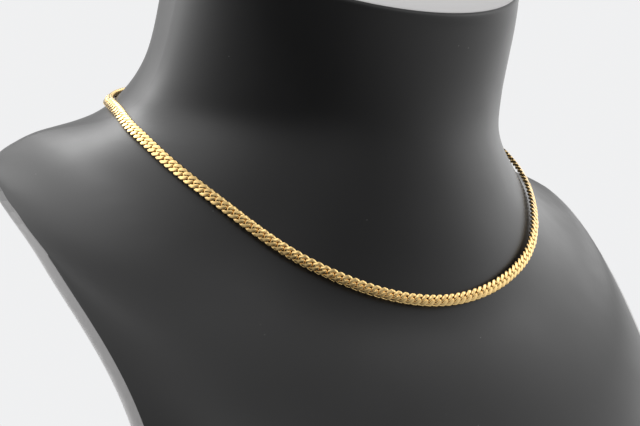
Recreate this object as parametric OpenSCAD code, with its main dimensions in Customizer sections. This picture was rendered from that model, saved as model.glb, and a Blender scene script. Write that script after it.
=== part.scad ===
// Curb chain necklace on a plain neck display bust.
// Millimetres, +Z up. The bust stands on z = 0 and faces -Y, its left side is +X.
// The chain lies on the bust's surface, so it follows every size of the bust.

/* [Bust] */
// Height of the neck's top edge at its two sides
bust_h = 191; // [172:1:210]
// Width across the shoulders
shoulder_w = 207; // [185:1:230]
// Width of the neck where it is narrowest
neck_w = 113; // [104:1:124]
// Depth of the neck, front to back, where it is narrowest
neck_d = 112; // [102:1:122]
// Thickness of the side edges below the shoulders
edge_t = 6.5; // [5:0.5:9]
// Rounding of the top and bottom edges
rim_r = 1; // [0.5:0.5:3]

/* [Chain] */
// Width of the chain
chain_w = 4; // [2.4:0.1:5]
// Thickness of the chain
chain_t = 2; // [1.2:0.1:2.4]
// Space between the chain and the bust
seat_gap = 0.4; // [0.3:0.05:0.8]

/* [Clasp] */
// Length of the clasp along the chain
clasp_l = 11; // [8:0.5:14]
// Width of the clasp
clasp_w = 4.8; // [4:0.2:6]
// Thickness of the clasp
clasp_t = 2.6; // [2:0.1:3.2]
// Space between the clasp and each end of the chain
clasp_gap = 0.3; // [0.2:0.05:0.6]

/* [Hidden] */

// Numbers of facets
BUST_LEVELS = 60;
FRONT_STEPS = 18;
EDGE_STEPS = 4;
BACK_STEPS = 10;
ROUND_STEPS = 3;
CHAIN_RINGS = 80;

// Half sizes that the tables below take their shares of
neck_half_w = neck_w / 2;
spread_w = (shoulder_w - neck_w) / 2;
half_d = neck_d / 2;

// The smallest thickness of a side edge, where the neck has none to see
soft_edge_t = 0.8;
// How far a side edge bulges, as a share of its thickness
EDGE_BULGE = 0.4;

// The bust's sections from the neck's top down to its foot. Each has a rounded front that may
// dip, a side edge and a rounded or wedge-shaped back that may rise.
HEIGHT = 0; // height of the side edge, share of bust_h
SPREAD = 1; // half width, 0 is the neck's and 1 the shoulders'
FRONT = 2; // reach forward of the side edge, share of half_d
BACK = 3; // reach behind the side edge, share of half_d
EDGE_Y = 4; // place of the side edge, front to back, share of half_d
DIP = 5; // fall of the front for each millimetre forward
RISE = 6; // rise of the back for each millimetre backward
FRONT_CURVE = 7; // power of the front's curve, 1 is an ellipse, 2 a parabola
BACK_CURVE = 8; // power of the back's curve
EDGE = 9; // thickness of the side edge, share of edge_t
SECTIONS = [
    // top of the neck
    [1.000, -0.02, 0.65, 0.88, -0.11, 0.63, 0.63, 1.03, 1.00, 0.0],
    // upper neck
    [0.947, 0.00, 0.77, 0.94, 0.02, 0.44, 0.41, 0.95, 1.00, 0.0],
    // lower neck
    [0.793, 0.03, 1.01, 0.87, 0.27, 0.13, 0.37, 1.06, 1.00, 0.0],
    // foot of the neck
    [0.725, 0.19, 1.26, 0.99, 0.50, 0.11, 0.19, 1.22, 1.00, 0.0],
    // shoulders, halfway out
    [0.692, 0.61, 1.75, 0.61, 0.92, 0.25, 0.09, 1.10, 1.05, 0.0],
    // tips of the shoulders
    [0.622, 1.00, 1.45, 0.91, 0.50, 0.53, 0.13, 1.10, 1.35, 0.6],
    // upper chest
    [0.492, 0.89, 1.18, 1.38, -0.16, 0.71, 0.00, 1.48, 2.30, 1.0],
    // chest
    [0.293, 0.68, 0.84, 1.77, -0.84, 0.61, 0.00, 2.01, 2.60, 1.0],
    // foot
    [0.000, 0.59, 0.69, 1.79, -1.38, 0.00, 0.00, 1.73, 2.60, 1.0]
];
LAST = len(SECTIONS) - 1;

// The chain's route: the level among the sections at which it lies, at equal turns from the
// front centre to the nape. It is the same on both sides.
ROUTE = [4.67, 4.44, 3.92, 3.34, 2.93, 2.88, 2.86, 2.84, 2.83];

// The chain's cross-section, as shares of its width and thickness: a flat underside and
// two slopes that meet in a ridge
CHAIN_SECTION = [
    [-0.5, -0.3], [-0.38, -0.5], [0.38, -0.5], [0.5, -0.3],
    [0.5, 0.15], [0.12, 0.5], [-0.12, 0.5], [-0.5, 0.15]
];

// Smooth curve through four values, at share t between the middle two
function blend(before, from, to, after, t) =
    0.5 * (2 * from + (to - before) * t
        + (2 * before - 5 * from + 4 * to - after) * t * t
        + (3 * from - before - 3 * to + after) * t * t * t);

// Value of one column of the sections at a level between 0 and LAST
function at_level(column, level) =
    let (
        i = min(floor(level), LAST - 1),
        from = SECTIONS[i][column],
        to = SECTIONS[i + 1][column],
        before = i > 0 ? SECTIONS[i - 1][column] : 2 * from - to,
        after = i < LAST - 1 ? SECTIONS[i + 2][column] : 2 * to - from
    ) blend(before, from, to, after, level - i);

// Thickness of the side edge at a level
function side_thickness(level) = max(at_level(EDGE, level) * edge_t, soft_edge_t);

// The outline from above reaches from the foremost to the rearmost point of all the sections,
// and its middle is placed at y = 0
OUTLINE_STEPS = 120;
outline_levels = [for (i = [0 : OUTLINE_STEPS]) LAST * i / OUTLINE_STEPS];
foremost = min([for (level = outline_levels)
    (at_level(EDGE_Y, level) - at_level(FRONT, level)) * half_d]);
rearmost = max([for (level = outline_levels)
    (at_level(EDGE_Y, level) + at_level(BACK, level)) * half_d + side_thickness(level)]);
middle_y = (foremost + rearmost) / 2;

// Sizes of the section at a level, in the order of their names. An inset makes it smaller and
// a lift raises it.
HALF_W = 0;
AHEAD = 1;
BEHIND = 2;
SIDE_Y = 3;
SIDE_Z = 4;
FALL = 5;
CLIMB = 6;
SIDE_T = 7;
AHEAD_POWER = 8;
BEHIND_POWER = 9;
function section(level, inset = 0, lift = 0) = [
    neck_half_w + at_level(SPREAD, level) * spread_w - inset,
    at_level(FRONT, level) * half_d - inset,
    at_level(BACK, level) * half_d - inset,
    at_level(EDGE_Y, level) * half_d - middle_y,
    rim_r + at_level(HEIGHT, level) * (bust_h - 2 * rim_r) + lift,
    at_level(DIP, level),
    at_level(RISE, level),
    side_thickness(level),
    at_level(FRONT_CURVE, level),
    at_level(BACK_CURVE, level)
];

// Point of a section at a place on its plan
function on_section(s, x, y) =
    let (back = y - s[SIDE_Y])
    [x, y, s[SIDE_Z] + back * (back < 0 ? s[FALL] : s[CLIMB])];

// Point on the front or the back of a section. The turn is 0 at the front centre, 90 at the
// left edge and 180 at the back centre.
function around(s, turn) =
    let (away = abs(cos(turn)))
    on_section(s, s[HALF_W] * sin(turn), cos(turn) >= 0
        ? s[SIDE_Y] - s[AHEAD] * pow(away, s[AHEAD_POWER])
        : s[SIDE_Y] + s[SIDE_T] + s[BEHIND] * pow(away, s[BEHIND_POWER]));

// Point on the rounded left side edge of a section, t from 0 at its front to 1 at its back
function on_edge(s, t) = on_section(s,
    s[HALF_W] + EDGE_BULGE * (s[SIDE_T] - soft_edge_t) * sin(180 * t),
    s[SIDE_Y] + s[SIDE_T] * (1 - cos(180 * t)) / 2);

// Left half of a section, from the front centre to the back centre
function half_ring(s) = concat(
    [for (i = [0 : FRONT_STEPS - 1]) around(s, 90 * i / FRONT_STEPS)],
    [for (i = [0 : EDGE_STEPS]) on_edge(s, i / EDGE_STEPS)],
    [for (i = [1 : BACK_STEPS]) around(s, 90 + 90 * i / BACK_STEPS)]
);

function mirror_x(p) = [-p[0], p[1], p[2]];

// Whole section, once around
function ring(s) =
    let (left = half_ring(s), n = len(left))
    concat(left, [for (i = [n - 2 : -1 : 1]) mirror_x(left[i])]);

// Point of the bust's surface, and the direction straight out of it
function bust_point(level, turn) = around(section(level), turn);
function outward(level, turn) =
    let (
        down = bust_point(level + 0.01, turn) - bust_point(level - 0.01, turn),
        along = bust_point(level, turn + 0.1) - bust_point(level, turn - 0.1),
        n = cross(down, along)
    ) n / norm(n);

// Faces between rings of equal length, listed from the top down, with closed ends
function skin_faces(rings, n) = [
    for (i = [0 : rings - 2], j = [0 : n - 1], half = [0, 1])
        let (a = i * n + j, b = i * n + (j + 1) % n)
        half == 0 ? [a, b, a + n] : [b, b + n, a + n]
];
function cap_faces(ring_start, n, centre, flip) = [
    for (j = [0 : n - 1])
        let (a = ring_start + j, b = ring_start + (j + 1) % n)
        flip ? [centre, b, a] : [centre, a, b]
];

// Level at which the chain lies at a turn between -180 and 180
function route_level(turn) =
    let (
        last = len(ROUTE) - 1,
        place = min(abs(turn) / 180 * last, last),
        i = min(floor(place), last - 1),
        before = i > 0 ? ROUTE[i - 1] : ROUTE[1],
        after = i < last - 1 ? ROUTE[i + 2] : ROUTE[last - 1]
    ) blend(before, ROUTE[i], ROUTE[i + 1], after, place - i);

// Middle of the chain at a turn
function chain_middle(turn) =
    let (level = route_level(turn))
    bust_point(level, turn) + (seat_gap + chain_t / 2) * outward(level, turn);

// The chain's ends lie beside the clasp at the nape
nape_step = norm(chain_middle(180) - chain_middle(179));
end_turn = 180 - (clasp_l / 2 + clasp_gap) / nape_step;

function chain_ring(turn) =
    let (
        out = outward(route_level(turn), turn),
        way = chain_middle(turn + 0.5) - chain_middle(turn - 0.5),
        across = cross(way / norm(way), out)
    ) [for (p = CHAIN_SECTION)
        chain_middle(turn) + p[0] * chain_w * across + p[1] * chain_t * out];

module bust() {
    levels = [for (i = [0 : BUST_LEVELS]) LAST * i / BUST_LEVELS];
    top_rounds = [for (i = [0 : ROUND_STEPS - 1]) 90 - 90 * i / ROUND_STEPS];
    foot_rounds = [for (i = [1 : ROUND_STEPS]) 90 * i / ROUND_STEPS];
    rings = concat(
        [for (t = top_rounds) ring(section(0, rim_r * (1 - cos(t)), rim_r * sin(t)))],
        [for (level = levels) ring(section(level))],
        [for (t = foot_rounds) ring(section(LAST, rim_r * (1 - cos(t)), -rim_r * sin(t)))]
    );
    n = len(rings[0]);
    top = section(0, rim_r, rim_r);
    foot = section(LAST, rim_r, -rim_r);
    side = [for (r = rings) each r];
    count = len(side);
    color("#2b2b2d")
    polyhedron(
        points = concat(side, [on_section(top, 0, top[SIDE_Y]), on_section(foot, 0, foot[SIDE_Y])]),
        faces = concat(
            skin_faces(len(rings), n),
            cap_faces(0, n, count, true),
            cap_faces(count - n, n, count + 1, false)
        )
    );
}

module chain() {
    turns = [for (i = [0 : CHAIN_RINGS - 1]) end_turn * (2 * i / (CHAIN_RINGS - 1) - 1)];
    n = len(CHAIN_SECTION);
    points = [for (t = turns) each chain_ring(t)];
    count = len(points);
    first = chain_middle(-end_turn);
    final = chain_middle(end_turn);
    color("#d9b163")
    polyhedron(
        points = concat(points, [first, final]),
        faces = concat(
            skin_faces(CHAIN_RINGS, n),
            cap_faces(0, n, count, true),
            cap_faces(count - n, n, count + 1, false)
        )
    );
}

module clasp() {
    level = route_level(180);
    out = outward(level, 180);
    middle = bust_point(level, 180) + (seat_gap + clasp_t / 2) * out;
    straight = clasp_l - clasp_w;
    color("#d9b163")
    translate(middle)
    rotate([-atan2(out[1], out[2]), 0, 0])
    translate([0, 0, -clasp_t / 2])
    linear_extrude(clasp_t)
    union() {
        square([straight, clasp_w], center = true);
        for (side = [-1, 1]) translate([side * straight / 2, 0]) circle(d = clasp_w, $fn = 48);
    }
}

bust();
chain();
clasp();
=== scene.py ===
# %% [markdown]
# # A curb chain necklace on its display bust
#
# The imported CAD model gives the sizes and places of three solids: a neck bust, a smooth band
# along the chain's route, and a clasp. This lesson dresses them. The band becomes a chain of
# separate, interlocking, facet-cut links, the clasp gets rounded edges and an eye at each end,
# and the bust gets a smooth skin with a satin black finish. Everything stays where the CAD
# model says.

import math

import bmesh
import bpy
import numpy as np
from mathutils import Matrix, Vector
from mathutils.bvhtree import BVHTree


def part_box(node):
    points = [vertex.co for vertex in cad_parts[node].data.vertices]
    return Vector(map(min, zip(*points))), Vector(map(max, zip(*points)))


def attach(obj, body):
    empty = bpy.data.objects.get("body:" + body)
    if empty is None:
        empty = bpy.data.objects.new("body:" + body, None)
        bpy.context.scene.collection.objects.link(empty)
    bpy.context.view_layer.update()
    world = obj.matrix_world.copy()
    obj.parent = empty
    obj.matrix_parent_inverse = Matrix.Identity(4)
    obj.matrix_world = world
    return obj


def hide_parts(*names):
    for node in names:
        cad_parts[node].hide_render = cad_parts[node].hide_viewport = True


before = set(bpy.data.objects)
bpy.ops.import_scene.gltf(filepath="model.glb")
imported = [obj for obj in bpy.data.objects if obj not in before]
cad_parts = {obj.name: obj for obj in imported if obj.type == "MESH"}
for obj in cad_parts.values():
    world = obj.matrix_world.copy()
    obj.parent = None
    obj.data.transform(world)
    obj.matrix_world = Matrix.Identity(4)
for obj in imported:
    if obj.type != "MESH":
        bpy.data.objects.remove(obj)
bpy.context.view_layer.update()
MM = 0.001

# %% [markdown]
# ## The camera
#
# The photograph is taken with a long lens, from a little to the bust's right and almost level
# with the chain. The camera is made first, so that every later step can be looked at from the
# right place. It is turned round the upright axis, then raised or lowered, then rolled about
# its own line of sight.

# %% Camera at the photograph's angle
CAMERA_PLACE = Vector((-245.1, -388.9, 113.5)) * MM
CAMERA_AZIMUTH = math.radians(-30.33)
CAMERA_ELEVATION = math.radians(0.50)
CAMERA_ROLL = math.radians(1.01)
LENS_MM = 85
SENSOR_WIDTH_MM = 36
NEAREST_SEEN = 10 * MM

bpy.ops.object.select_all(action="DESELECT")
bpy.ops.object.camera_add()
camera = bpy.context.active_object
camera.name = "camera"
camera.data.lens = LENS_MM
camera.data.sensor_width = SENSOR_WIDTH_MM
camera.data.clip_start = NEAREST_SEEN
camera.matrix_world = (
    Matrix.Translation(CAMERA_PLACE)
    @ Matrix.Rotation(CAMERA_AZIMUTH, 4, "Z")
    @ Matrix.Rotation(math.pi / 2 - CAMERA_ELEVATION, 4, "X")
    @ Matrix.Rotation(CAMERA_ROLL, 4, "Z")
)
bpy.context.scene.camera = camera
print("camera at, mm:", [round(c / MM) for c in camera.location])

# %% [markdown]
# ## Helpers for working by hand in code
#
# Blender's operators act on whatever is selected. So each step selects exactly what it works
# on, and an edit is opened and closed in one place.

# %% Selecting, editing and finishing pieces
def select_only(*objects):
    bpy.ops.object.select_all(action="DESELECT")
    for o in objects:
        o.select_set(True)
    bpy.context.view_layer.objects.active = objects[0]


def edit(o, select="SELECT"):
    """Opens edit mode on one object with all or none of it selected."""
    select_only(o)
    bpy.ops.object.mode_set(mode="EDIT")
    bpy.ops.mesh.select_mode(type="VERT")
    bpy.ops.mesh.select_all(action=select)


def close_edit():
    bpy.ops.object.mode_set(mode="OBJECT")


def apply_modifier(o, kind, **settings):
    select_only(o)
    bpy.ops.object.modifier_add(type=kind)
    modifier = o.modifiers[-1]
    for key, value in settings.items():
        setattr(modifier, key, value)
    bpy.ops.object.modifier_apply(modifier=modifier.name)


def smooth(o, angle_deg):
    select_only(o)
    bpy.ops.object.shade_smooth_by_angle(angle=math.radians(angle_deg))


def triangles(o):
    return sum(len(p.vertices) - 2 for p in o.data.polygons)


# %% [markdown]
# ## The bust's skin
#
# The bust is a smooth moulding. The CAD solid has its shape in flat facets, and those would
# show in the satin finish. So its mesh is copied, and the copy's loose triangles are welded.
# The next steps find the crisp lines on it, and then round everything else by subdivision.

# %% Welded copy
WELD_DISTANCE = 0.002 * MM

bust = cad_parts["bust"].copy()
bust.data = bust.data.copy()
bust.name = bust.data.name = "bust_skin"
for key in list(bust.keys()):
    del bust[key]
bust.parent = None
bust.data.materials.clear()
bpy.context.scene.collection.objects.link(bust)
edit(bust)
bpy.ops.mesh.remove_doubles(threshold=WELD_DISTANCE)
close_edit()
print("bust:", len(bust.data.vertices), "points,", triangles(bust), "triangles")

# %% [markdown]
# The sloping cut on top of the neck and the rounded side edges catch the bright room, and
# that reflection is painted into their colour as a paler grey. A number on each face says how
# much painted reflection it gets, and the finish reads it later. The top cut is found by its
# height and its tilt.

# %% Painted reflection on the top cut
TOP_CUT_LEAST_HEIGHT = 150 * MM
TOP_CUT_LEAST_TILT = 0.6
TOP_CUT_PAINTED_REFLECTION = 1.0

mesh = bmesh.new()
mesh.from_mesh(bust.data)
# each face's share of painted reflection, which the satin finish reads as a paler grey
painted_reflection = mesh.faces.layers.float.new("painted_reflection")
crease = mesh.edges.layers.float.new("crease_edge")
for face in mesh.faces:
    tilted = face.normal.z > TOP_CUT_LEAST_TILT and face.normal.y < 0
    if tilted and face.calc_center_median().z > TOP_CUT_LEAST_HEIGHT:
        # painted reflection: the top cut is painted paler where it catches the bright room
        face[painted_reflection] = TOP_CUT_PAINTED_REFLECTION
print("top cut:", sum(face[painted_reflection] > 0 for face in mesh.faces), "faces")

# %% [markdown]
# The middle of a side edge faces straight outward, on the outline of the bust as seen from the
# front, and the rest of the edge lies close to that middle. Its painted reflection fades out
# toward the shoulders, where the edge melts into the neck.

# %% Painted reflection on the side edges
SIDE_EDGE_PAINTED_REFLECTION = 0.73
SIDE_EDGE_LEAST_TILT = 0.7
SIDE_EDGE_LEAST_FACE = 2 * MM**2
SIDE_EDGE_REACH = 1.5 * MM
SIDE_EDGE_LEVEL = 3.5 * MM
SIDE_EDGE_DEPTH = 3.4 * MM
SIDE_EDGE_FADE = (104 * MM, 120 * MM)

low, high = SIDE_EDGE_FADE
lower_faces = [face for face in mesh.faces if face.calc_center_median().z < high]
heights = np.array([v.co.z for v in mesh.verts])
half_widths = np.array([abs(v.co.x) for v in mesh.verts])


def outermost(face):
    """Whether a face is on the outline of the bust, as seen from the front."""
    middle = face.calc_center_median()
    level = half_widths[abs(heights - middle.z) < SIDE_EDGE_LEVEL]
    return abs(middle.x) > level.max() - SIDE_EDGE_DEPTH


facing_outward = [
    [v.index for v in face.verts]
    for face in lower_faces
    if abs(face.normal.x) > SIDE_EDGE_LEAST_TILT
    and face.calc_area() > SIDE_EDGE_LEAST_FACE
    and outermost(face)
]
middle_of_edge = BVHTree.FromPolygons([v.co for v in mesh.verts], facing_outward)
side_edge = set()
for face in lower_faces:
    middle = face.calc_center_median()
    if middle_of_edge.find_nearest(middle)[3] < SIDE_EDGE_REACH:
        side_edge.add(face)
        # painted reflection on the side edge, fading out toward the shoulders
        face[painted_reflection] = SIDE_EDGE_PAINTED_REFLECTION * min((high - middle.z) / (high - low), 1)
print("side edges:", len(side_edge), "faces")

# %% [markdown]
# The borders of the side edges and the bust's other sharp lines stay crisp. A crease holds a
# line in place when the mesh is subdivided, a sharp mark keeps the shading of its two sides
# apart, and a seam stops the next step from joining triangles across it.

# %% Crisp lines
CRISP_ANGLE = math.radians(38)

for line in mesh.edges:
    inside = len(side_edge.intersection(line.link_faces))
    if inside == 1 or (inside == 0 and line.calc_face_angle() > CRISP_ANGLE):
        line[crease] = 1
        line.smooth = False
        line.seam = True
print("crisp lines:", sum(line.seam for line in mesh.edges))
mesh.to_mesh(bust.data)
mesh.free()

# %% [markdown]
# Pairs of triangles become four-sided faces again, because those subdivide evenly. One level
# of subdivision is enough to round the facets away.

# %% Subdivide
edit(bust)
bpy.ops.mesh.tris_convert_to_quads(seam=True)
close_edit()
apply_modifier(bust, "SUBSURF", levels=1, render_levels=1)
smooth(bust, angle_deg=60)
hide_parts("bust")
print("bust:", triangles(bust), "triangles")

# %% [markdown]
# ## The chain's route
#
# The links have to lie where the CAD band lies. The band is a tube of rings, each in a plane
# across the chain. Each triangle of the mesh has its own corners, so corners that agree to a
# few decimals of a metre are taken as one point. The points of a ring are closer together than
# two rings are, so each ring is gathered by growing it from one point.

# %% Rings of the CAD band
CHAIN_WIDTH = 3.7 * MM
CHAIN_THICKNESS = 2.0 * MM
RING_GAP = 2.6 * MM
SAME_POINT_DECIMALS = 7

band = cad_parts["chain"].data
corners = {tuple(np.round(v.co, SAME_POINT_DECIMALS)) for v in band.vertices}
points = np.array(sorted(corners))
rings = []
while len(points):
    distances = np.linalg.norm(points[:, None] - points, axis=2)
    ring, grown = np.zeros(len(points), bool), np.arange(len(points)) == 0
    while grown.sum() > ring.sum():
        ring = grown
        grown = (distances[ring] < RING_GAP).any(axis=0)
    rings.append(points[ring])
    points = points[~ring]
print("rings:", len(rings), "with", sorted({len(r) for r in rings}), "points each")

# %% [markdown]
# Then the middle of each ring is measured, and the direction in it that leads straight away
# from the bust. A ring is wider than it is thick, so that direction is the second of its main
# axes, and the nearest point of the bust tells which of the axis's two ends is the outer one.

# %% Middle and outward direction of each ring
bust_tree = BVHTree.FromObject(bust, bpy.context.evaluated_depsgraph_get())


def ring_middle_and_out(ring):
    """Middle of a ring, and the direction in it that leads straight away from the bust."""
    mean = ring.mean(0)
    out = np.linalg.svd(ring - mean)[2][1]
    foot = np.array(bust_tree.find_nearest(Vector(mean))[0])
    out *= math.copysign(1, out @ (mean - foot))
    lowest = ((ring - mean) @ out).min()
    return mean + out * (lowest + CHAIN_THICKNESS / 2), out


middles, outs = (list(x) for x in zip(*[ring_middle_and_out(r) for r in rings]))
print("rings measured:", len(middles))

# %% Order the rings from the clasp's right end round to its left end
clasp_low, clasp_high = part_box("clasp")
clasp_middle = np.array((clasp_low + clasp_high) / 2)
start = min(
    (i for i in range(len(middles)) if middles[i][0] < 0),
    key=lambda i: np.linalg.norm(middles[i] - clasp_middle),
)
order, left = [start], set(range(len(middles))) - {start}
while left:
    here = middles[order[-1]]
    following = min(left, key=lambda i: np.linalg.norm(middles[i] - here))
    order.append(following)
    left.remove(following)
middles = np.array([middles[i] for i in order])
outs = np.array([outs[i] for i in order])
gaps = np.linalg.norm(np.diff(middles, axis=0), axis=1)
print("band length, mm:", round(gaps.sum() / MM, 1), "ring spacing:", round(gaps.mean() / MM, 1))

# %% [markdown]
# The rings are a few links apart, so a smooth curve is led through the rings' middles. Its
# length is then a ruler on which the links are set out evenly.

# %% Smooth curve through the rings
CURVE_STEPS = 12


def through(values):
    """Smooth curve through the values, with CURVE_STEPS points between two of them."""
    padded = np.vstack([2 * values[0] - values[1], values, 2 * values[-1] - values[-2]])
    t = np.arange(CURVE_STEPS)[:, None] / CURVE_STEPS
    parts = []
    for a, b, c, d in zip(padded, padded[1:], padded[2:], padded[3:]):
        slope, bend, twist = c - a, 2 * a - 5 * b + 4 * c - d, 3 * b - a - 3 * c + d
        parts.append(0.5 * (2 * b + slope * t + bend * t**2 + twist * t**3))
    return np.vstack([*parts, values[-1:]])


route = through(middles)
route_out = through(outs)
ruler = np.concatenate([[0], np.cumsum(np.linalg.norm(np.diff(route, axis=0), axis=1))])
print("route length, mm:", round(ruler[-1] / MM, 1))

# %% Place and directions at any distance
ROUTE_STEP = 0.5 * MM


def read(table, distance):
    return np.array([np.interp(distance, ruler, column) for column in table.T])


def on_route(distance):
    """Place and directions (along, across, out) at a distance from the route's start."""
    inside = min(max(distance, 0), ruler[-1])
    ahead, behind = min(inside + ROUTE_STEP, ruler[-1]), max(inside - ROUTE_STEP, 0)
    along = read(route, ahead) - read(route, behind)
    along /= np.linalg.norm(along)
    place = read(route, inside) + along * (distance - inside)
    out = read(route_out, inside)
    out -= along * (out @ along)
    out /= np.linalg.norm(out)
    return place, along, np.cross(out, along), out


def turned_to(along, across, out):
    """Turns a piece so that its X, Y and Z lie in three directions."""
    return Matrix([[*v] for v in zip(along, across, out)]).to_4x4()


halfway = on_route(ruler[-1] / 2)[0]
print("halfway along the route, mm:", [round(c / MM, 1) for c in halfway])

# %% [markdown]
# ## One link
#
# A curb link is an oval ring of thick wire that is twisted a little, so that it lies flat
# against its neighbours. It starts as a torus, is stretched to an oval, and a Simple Deform
# modifier twists it about its length, as a jeweller's pliers do. There are hundreds of links,
# so the torus has as few faces as the eye allows.

# %% Torus, stretched and twisted
WIRE_WIDTH = 1.2 * MM
WIRE_HEIGHT = 1.2 * MM
LINK_HALF_WIDTH = CHAIN_WIDTH / 2 - WIRE_WIDTH / 2
LINK_HALF_LENGTH = 1.64 * MM
TWIST_RADIANS_PER_MM = 0.41

bpy.ops.object.select_all(action="DESELECT")
bpy.ops.mesh.primitive_torus_add(
    major_segments=16, minor_segments=6, major_radius=LINK_HALF_WIDTH, minor_radius=WIRE_WIDTH / 2
)
link = bpy.context.active_object
link.name = "link"
edit(link)
bpy.ops.transform.resize(value=(LINK_HALF_LENGTH / LINK_HALF_WIDTH, 1, WIRE_HEIGHT / WIRE_WIDTH))
close_edit()
length = link.dimensions.x
twist = -TWIST_RADIANS_PER_MM * length / MM
apply_modifier(link, "SIMPLE_DEFORM", deform_method="TWIST", deform_axis="X", angle=twist)
back_quarter = [v.co.z / MM for v in link.data.vertices if v.co.x < 0 < v.co.y]
print("link length, mm:", round(length / MM, 2), "raised by:", round(max(back_quarter), 2))

# %% [markdown]
# The chain is then ground: two sloping cuts meet in a ridge along the middle of the top, and
# one flat cut runs along the underside. Each cut is a bisect that closes its hole with a flat
# face. Weighted normals keep the large ground faces flat and let the small faces round them
# off, like polished pads.

# %% Ground faces
TOP_RIDGE = 0.78 * MM
TOP_SLOPE = math.radians(11)
UNDERSIDE = -0.92 * MM


def grind(o, height, normal):
    """Cuts off what lies beyond a plane and closes the cut."""
    edit(o)
    bpy.ops.mesh.bisect(
        plane_co=(0, 0, height),
        plane_no=normal,
        use_fill=True,
        clear_outer=True,
        clear_inner=False,
    )
    close_edit()


grind(link, TOP_RIDGE, (0, math.sin(TOP_SLOPE), math.cos(TOP_SLOPE)))
grind(link, TOP_RIDGE, (0, -math.sin(TOP_SLOPE), math.cos(TOP_SLOPE)))
grind(link, UNDERSIDE, (0, 0, -1))
smooth(link, angle_deg=80)
apply_modifier(link, "WEIGHTED_NORMAL", keep_sharp=True)
print("one link:", len(link.data.polygons), "faces,", triangles(link), "triangles")

# %% [markdown]
# ## The whole chain
#
# The link is copied along the route, each copy with its own mesh, and the copies are joined.
# A hand-assembled chain is never quite even, so each link is turned by a degree or two. That
# makes neighbouring links catch the light differently.

# %% Links along the route
PITCH_WISH = 2.24 * MM
END_OVERLAP = 0.7 * MM
JITTER_DEG = 1.3
JITTER_SEED = 7

span = ruler[-1] + 2 * END_OVERLAP - LINK_HALF_LENGTH * 2
count = round(span / PITCH_WISH) + 1
pitch = span / (count - 1)
rng = np.random.default_rng(JITTER_SEED)
links = []
for i in range(count):
    place, *directions = on_route(LINK_HALF_LENGTH - END_OVERLAP + i * pitch)
    turn = turned_to(*directions)
    for axis in "XYZ":
        turn = turn @ Matrix.Rotation(math.radians(rng.normal(0, JITTER_DEG)), 4, axis)
    copy = link.copy()
    copy.data = link.data.copy()
    copy.data.transform(Matrix.Translation(Vector(place)) @ turn)
    bpy.context.scene.collection.objects.link(copy)
    links.append(copy)
bpy.data.objects.remove(link)
select_only(*links)
bpy.ops.object.join()
chain = bpy.context.active_object
chain.name = chain.data.name = "chain_links"
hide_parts("chain")
print("chain:", count, "links", round(pitch / MM, 3), "mm apart,", triangles(chain), "triangles")

# %% [markdown]
# ## The clasp
#
# The photograph hides the clasp behind the neck, so it is a plain rounded bar. A short
# cylinder is stretched to an oval, and its edges are bevelled.

# %% Bar
CLASP_LENGTH = 11 * MM
CLASP_WIDTH = 4.8 * MM
CLASP_THICKNESS = 2.6 * MM
CLASP_ROUNDING = 0.7 * MM
EYE_ROOM = 1.5 * MM
BAR_LENGTH = CLASP_LENGTH - 2 * EYE_ROOM
NEAR_MIDDLE = 0.01 * MM

bpy.ops.object.select_all(action="DESELECT")
bpy.ops.mesh.primitive_cylinder_add(
    vertices=32, radius=CLASP_WIDTH / 2, depth=CLASP_THICKNESS, end_fill_type="NGON"
)
clasp = bpy.context.active_object
for side in (-1, 1):
    edit(clasp, "DESELECT")
    close_edit()
    for v in clasp.data.vertices:
        v.select = side * v.co.x > NEAR_MIDDLE
    bpy.ops.object.mode_set(mode="EDIT")
    bpy.ops.transform.translate(value=(side * (BAR_LENGTH - CLASP_WIDTH) / 2, 0, 0))
    close_edit()
edit(clasp, "DESELECT")
bpy.ops.mesh.select_mode(type="EDGE")
bpy.ops.mesh.edges_select_sharp(sharpness=math.radians(60))
bpy.ops.mesh.bevel(offset=CLASP_ROUNDING, segments=4, profile=0.5, affect="EDGES")
close_edit()
print("bar:", triangles(clasp), "triangles")

# %% [markdown]
# A small ring at each end takes the chain's last link. The clasp is made at the middle of the
# scene, and then laid on the nape between the two ends of the chain.

# %% Eye at each end
EYE_RADIUS = 0.93 * MM
EYE_WIRE = 0.28 * MM
EYE_STANDOFF = 0.4 * MM

parts = [clasp]
for side in (-1, 1):
    bpy.ops.object.select_all(action="DESELECT")
    bpy.ops.mesh.primitive_torus_add(
        major_segments=24,
        minor_segments=8,
        major_radius=EYE_RADIUS,
        minor_radius=EYE_WIRE,
        location=(side * (BAR_LENGTH / 2 + EYE_STANDOFF), 0, 0),
        rotation=(math.pi / 2, 0, 0),
    )
    parts.append(bpy.context.active_object)
select_only(*parts)
bpy.ops.object.transform_apply(location=True, rotation=True, scale=True)
bpy.ops.object.join()
clasp = bpy.context.active_object
clasp.name = clasp.data.name = "clasp_bar"
print("with eyes:", triangles(clasp), "triangles")

# %% Lay it on the nape
along = np.array([-1.0, 0.0, 0.0])
first_out, last_out = on_route(0)[-1], on_route(ruler[-1])[-1]
out = (first_out + last_out) * np.array([0, 1, 1])
out /= np.linalg.norm(out)
turn = turned_to(along, np.cross(out, along), out)
clasp.data.transform(Matrix.Translation(Vector(clasp_middle)) @ turn)
smooth(clasp, angle_deg=40)
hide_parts("clasp")
print("clasp middle, mm:", [round(c / MM, 1) for c in clasp_middle])

# %% [markdown]
# ## Finishes
#
# Each finish is a Principled shader. What is the same all over the surface is set on its own
# sockets, and small procedural patterns in the piece's own coordinates vary the rest.

# %% A shader and its pattern nodes
def new_finish(name, **sockets):
    """A material, its node tree, its shader and the coordinates that its patterns read."""
    material = bpy.data.materials.new(name)
    material.use_nodes = True
    tree = material.node_tree
    shader = tree.nodes["Principled BSDF"]
    for socket, value in sockets.items():
        shader.inputs[socket.replace("_", " ")].default_value = value
    where = tree.nodes.new("ShaderNodeTexCoord").outputs["Object"]
    return material, tree, shader, where


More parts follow.
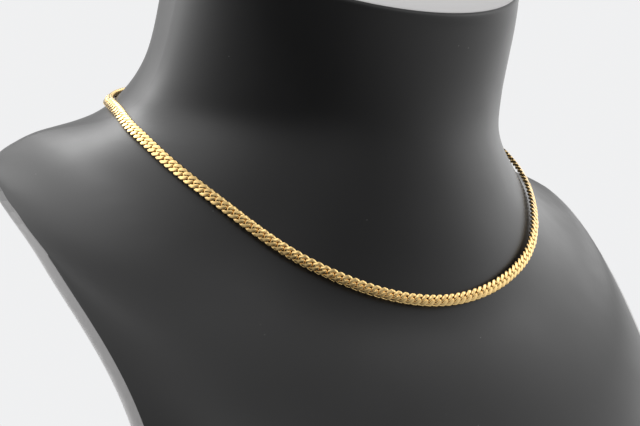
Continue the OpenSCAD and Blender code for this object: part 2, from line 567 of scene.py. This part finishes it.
def noise(tree, where, size, detail=2.0):
    """Noise whose blotches are about the given size."""
    node = tree.nodes.new("ShaderNodeTexNoise")
    node.inputs["Scale"].default_value = 1 / size
    node.inputs["Detail"].default_value = detail
    tree.links.new(where, node.inputs["Vector"])
    return node.outputs["Fac"]


def spread(tree, value, low, high, start=0.3, end=0.7):
    """Maps a pattern's values from start and end to low and high."""
    node = tree.nodes.new("ShaderNodeMapRange")
    numbers = {"From Min": start, "From Max": end, "To Min": low, "To Max": high}
    for socket, number in numbers.items():
        node.inputs[socket].default_value = number
    tree.links.new(value, node.inputs["Value"])
    return node.outputs["Result"]


def specks(tree, where, spacing, radius, core=0.6):
    """Round specks, which a surface meets only here and there: 1 in their core, 0 outside."""
    node = tree.nodes.new("ShaderNodeTexVoronoi")
    node.inputs["Scale"].default_value = 1 / spacing
    tree.links.new(where, node.inputs["Vector"])
    reach = radius / spacing
    return spread(tree, node.outputs["Distance"], 1, 0, start=core * reach, end=reach)


def mixed(tree, share, first, second):
    """From the first to the second of two colours, as the share goes from 0 to 1."""
    node = tree.nodes.new("ShaderNodeMix")
    node.data_type = "RGBA"
    tree.links.new(share, node.inputs["Factor"])
    for socket, colour in (("A", first), ("B", second)):
        if isinstance(colour, tuple):
            node.inputs[socket].default_value = (*colour, 1)
        else:
            tree.links.new(colour, node.inputs[socket])
    return node.outputs["Result"]


def raise_surface(tree, shader, height, strength, depth):
    node = tree.nodes.new("ShaderNodeBump")
    node.inputs["Strength"].default_value = strength
    node.inputs["Distance"].default_value = depth
    tree.links.new(height, node.inputs["Height"])
    tree.links.new(node.outputs["Normal"], shader.inputs["Normal"])


def set_finish(material, *pieces):
    for piece in pieces:
        piece.data.materials.append(material)
    print(material.name, "on", [piece.name for piece in pieces])


# %% [markdown]
# The bust is a satin black moulding: almost no colour of its own, and a soft sheen that grows
# toward its outline. Its gloss changes slightly from place to place, a very fine grain breaks
# the sheen, and a few specks of dust have settled on it. The number that was left on the
# faces paints the top cut and the side edges a paler grey, a painted reflection of the bright
# room.

# %% Satin black
DARKER_BLACK = (0.013, 0.013, 0.0135)
LIGHTER_BLACK = (0.015, 0.015, 0.0155)
SHADE_SIZE = 30 * MM
PAINTED_REFLECTION_COLOUR = (0.58, 0.57, 0.57)
DUST_COLOUR = (0.2, 0.2, 0.2)
DUST_SPACING = 7 * MM
DUST_RADIUS = 0.17 * MM
SATIN_ROUGHNESS = (0.34, 0.38)
SATIN_SIZE = 14 * MM
GRAIN_SIZE = 0.5 * MM
GRAIN_DEPTH = 0.05 * MM

satin, tree, shader, where = new_finish("satin_black", Specular_IOR_Level=0.5)
shade = spread(tree, noise(tree, where, SHADE_SIZE), 0, 1)
black = mixed(tree, shade, DARKER_BLACK, LIGHTER_BLACK)
# painted reflection: the top cut and side edges get a paler grey where they catch the bright room
reflection_share = tree.nodes.new("ShaderNodeAttribute")
reflection_share.attribute_name = "painted_reflection"
black_and_reflection = mixed(tree, reflection_share.outputs["Fac"], black, PAINTED_REFLECTION_COLOUR)
dust = specks(tree, where, DUST_SPACING, DUST_RADIUS)
with_dust = mixed(tree, dust, black_and_reflection, DUST_COLOUR)
tree.links.new(with_dust, shader.inputs["Base Color"])
gloss = spread(tree, noise(tree, where, SATIN_SIZE), *SATIN_ROUGHNESS)
tree.links.new(gloss, shader.inputs["Roughness"])
grain = noise(tree, where, GRAIN_SIZE, detail=4)
raise_surface(tree, shader, grain, strength=0.08, depth=GRAIN_DEPTH)
set_finish(satin, bust)

# %% [markdown]
# The chain is polished gold. Metal has no colour but that of its reflections, so the base
# colour is a strong yellow. Fine scratches from the grinding make the cut faces a little soft.

# %% Polished gold
GOLD_COLOUR = (0.95, 0.66, 0.28)
GOLD_ROUGHNESS = (0.03, 0.09)
POLISH_SIZE = 2 * MM
SCRATCH_SIZE = 0.25 * MM
SCRATCH_DEPTH = 0.02 * MM

gold, tree, shader, where = new_finish("polished_gold", Base_Color=(*GOLD_COLOUR, 1), Metallic=1.0)
polish = spread(tree, noise(tree, where, POLISH_SIZE), *GOLD_ROUGHNESS)
tree.links.new(polish, shader.inputs["Roughness"])
scratches = noise(tree, where, SCRATCH_SIZE, detail=3)
raise_surface(tree, shader, scratches, strength=0.12, depth=SCRATCH_DEPTH)
set_finish(gold, chain, clasp)

# %% [markdown]
# ## Riding on the model
#
# Every piece is hung on the empty of the CAD body that carries it.

# %% Body of each piece
for piece, slot_name in ((bust, "bust"), (chain, "chain"), (clasp, "clasp")):
    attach(piece, "root")
    print(piece.name, "rides on root and takes the finish of", slot_name)

# %% [markdown]
# ## Floor and light
#
# The object stands on a plain pale table top. It is a wide, low cylinder with a rounded edge,
# and a dull finish that varies a little.

# %% Table top
TABLE_RADIUS = 240 * MM
TABLE_THICKNESS = 20 * MM
TABLE_ROUNDING = 3 * MM
TABLE_COLOUR = (0.66, 0.66, 0.66)
TABLE_ROUGHNESS = (0.76, 0.84)
TABLE_PATCH_SIZE = 300 * MM

bpy.ops.object.select_all(action="DESELECT")
bpy.ops.mesh.primitive_cylinder_add(
    vertices=128, radius=TABLE_RADIUS, depth=TABLE_THICKNESS, location=(0, 0, -TABLE_THICKNESS / 2)
)
floor = bpy.context.active_object
floor.name = "table_top"
apply_modifier(floor, "BEVEL", width=TABLE_ROUNDING, segments=3)
smooth(floor, angle_deg=40)
pale, tree, shader, where = new_finish("pale_top", Base_Color=(*TABLE_COLOUR, 1))
dullness = spread(tree, noise(tree, where, TABLE_PATCH_SIZE), *TABLE_ROUGHNESS)
tree.links.new(dullness, shader.inputs["Roughness"])
set_finish(pale, floor)

# %% [markdown]
# The light comes from soft panels in an almost white room: bright ones behind the bust and to
# its sides, some overhead, and hardly any on the side from which the photograph is taken. That
# is why the middle of the neck looks black while its flanks and the tops of the shoulders
# shine. A panel's turn is counted from the camera to the camera's right, so 90 is the
# right-hand side of the picture and 180 is behind the bust. Broad panels shade the satin bust,
# and narrow ones make the polished links sparkle.

# %% Soft panels
ROOM_COLOUR = (0.868, 0.872, 0.88)
BROAD = 8
NARROW = 60
PANELS = [
    # turn, height, brightness, sharpness
    (70, 12, 0.15, BROAD),
    (100, 12, 0.8, BROAD),
    (130, 12, 1.1, BROAD),
    (160, 12, 1.0, BROAD),
    (220, 12, 0.3, BROAD),
    (250, 12, 0.9, BROAD),
    (0, 42, 0.4, BROAD),
    (60, 42, 0.35, BROAD),
    (280, 42, 1.8, BROAD),
    (0, 90, 0.35, BROAD),
    (60, -22, 0.5, BROAD),
    (200, -22, 0.8, BROAD),
    (240, -22, 1.5, BROAD),
    (290, -22, 0.35, BROAD),
    (240, 20, 4.0, NARROW),
    (70, 44, 1.2, NARROW),
    (100, 30, 1.8, NARROW),
    (150, 42, 0.8, NARROW),
    (200, 42, 1.8, NARROW),
    (230, 42, 9.5, NARROW),
    (180, 60, 4.5, NARROW),
    (240, 65, 2.0, NARROW),
    (0, 90, 1.6, NARROW),
    (20, 55, 1.2, NARROW),
]
print("panels:", len(PANELS))

# %% [markdown]
# Each panel is a soft-edged patch of the room. It is brightest in its own direction and fades
# with a power of the cosine of the angle from it. The patches are added up, and what the camera
# sees directly is the plain pale room instead.

# %% Room
def panel_direction(turn_deg, height_deg):
    turn = CAMERA_AZIMUTH - math.pi / 2 + math.radians(turn_deg)
    height = math.radians(height_deg)
    level = math.cos(height)
    return Vector((math.cos(turn) * level, math.sin(turn) * level, math.sin(height)))


def maths(tree, operation, first, second):
    """A Math node, whose inputs are other nodes' outputs or numbers."""
    node = tree.nodes.new("ShaderNodeMath")
    node.operation = operation
    for socket, value in zip(node.inputs, (first, second)):
        if isinstance(value, (int, float)):
            socket.default_value = value
        else:
            tree.links.new(value, socket)
    return node.outputs["Value"]


room = bpy.data.worlds.new("room")
bpy.context.scene.world = room
room.use_nodes = True
tree = room.node_tree
looking = tree.nodes.new("ShaderNodeTexCoord").outputs["Generated"]
light = 0.0
for turn_deg, height_deg, brightness, sharpness in PANELS:
    facing = tree.nodes.new("ShaderNodeVectorMath")
    facing.operation = "DOT_PRODUCT"
    facing.inputs[1].default_value = panel_direction(turn_deg, height_deg)
    tree.links.new(looking, facing.inputs[0])
    lit_side = maths(tree, "MAXIMUM", facing.outputs["Value"], 0.0)
    patch = maths(tree, "POWER", lit_side, sharpness)
    light = maths(tree, "ADD", light, maths(tree, "MULTIPLY", patch, brightness))
seen_directly = tree.nodes.new("ShaderNodeLightPath").outputs["Is Camera Ray"]
seen = mixed(tree, seen_directly, light, ROOM_COLOUR)
tree.links.new(seen, tree.nodes["Background"].inputs["Color"])
bpy.context.scene.view_settings.view_transform = "Standard"
print("room:", len(tree.nodes), "nodes")
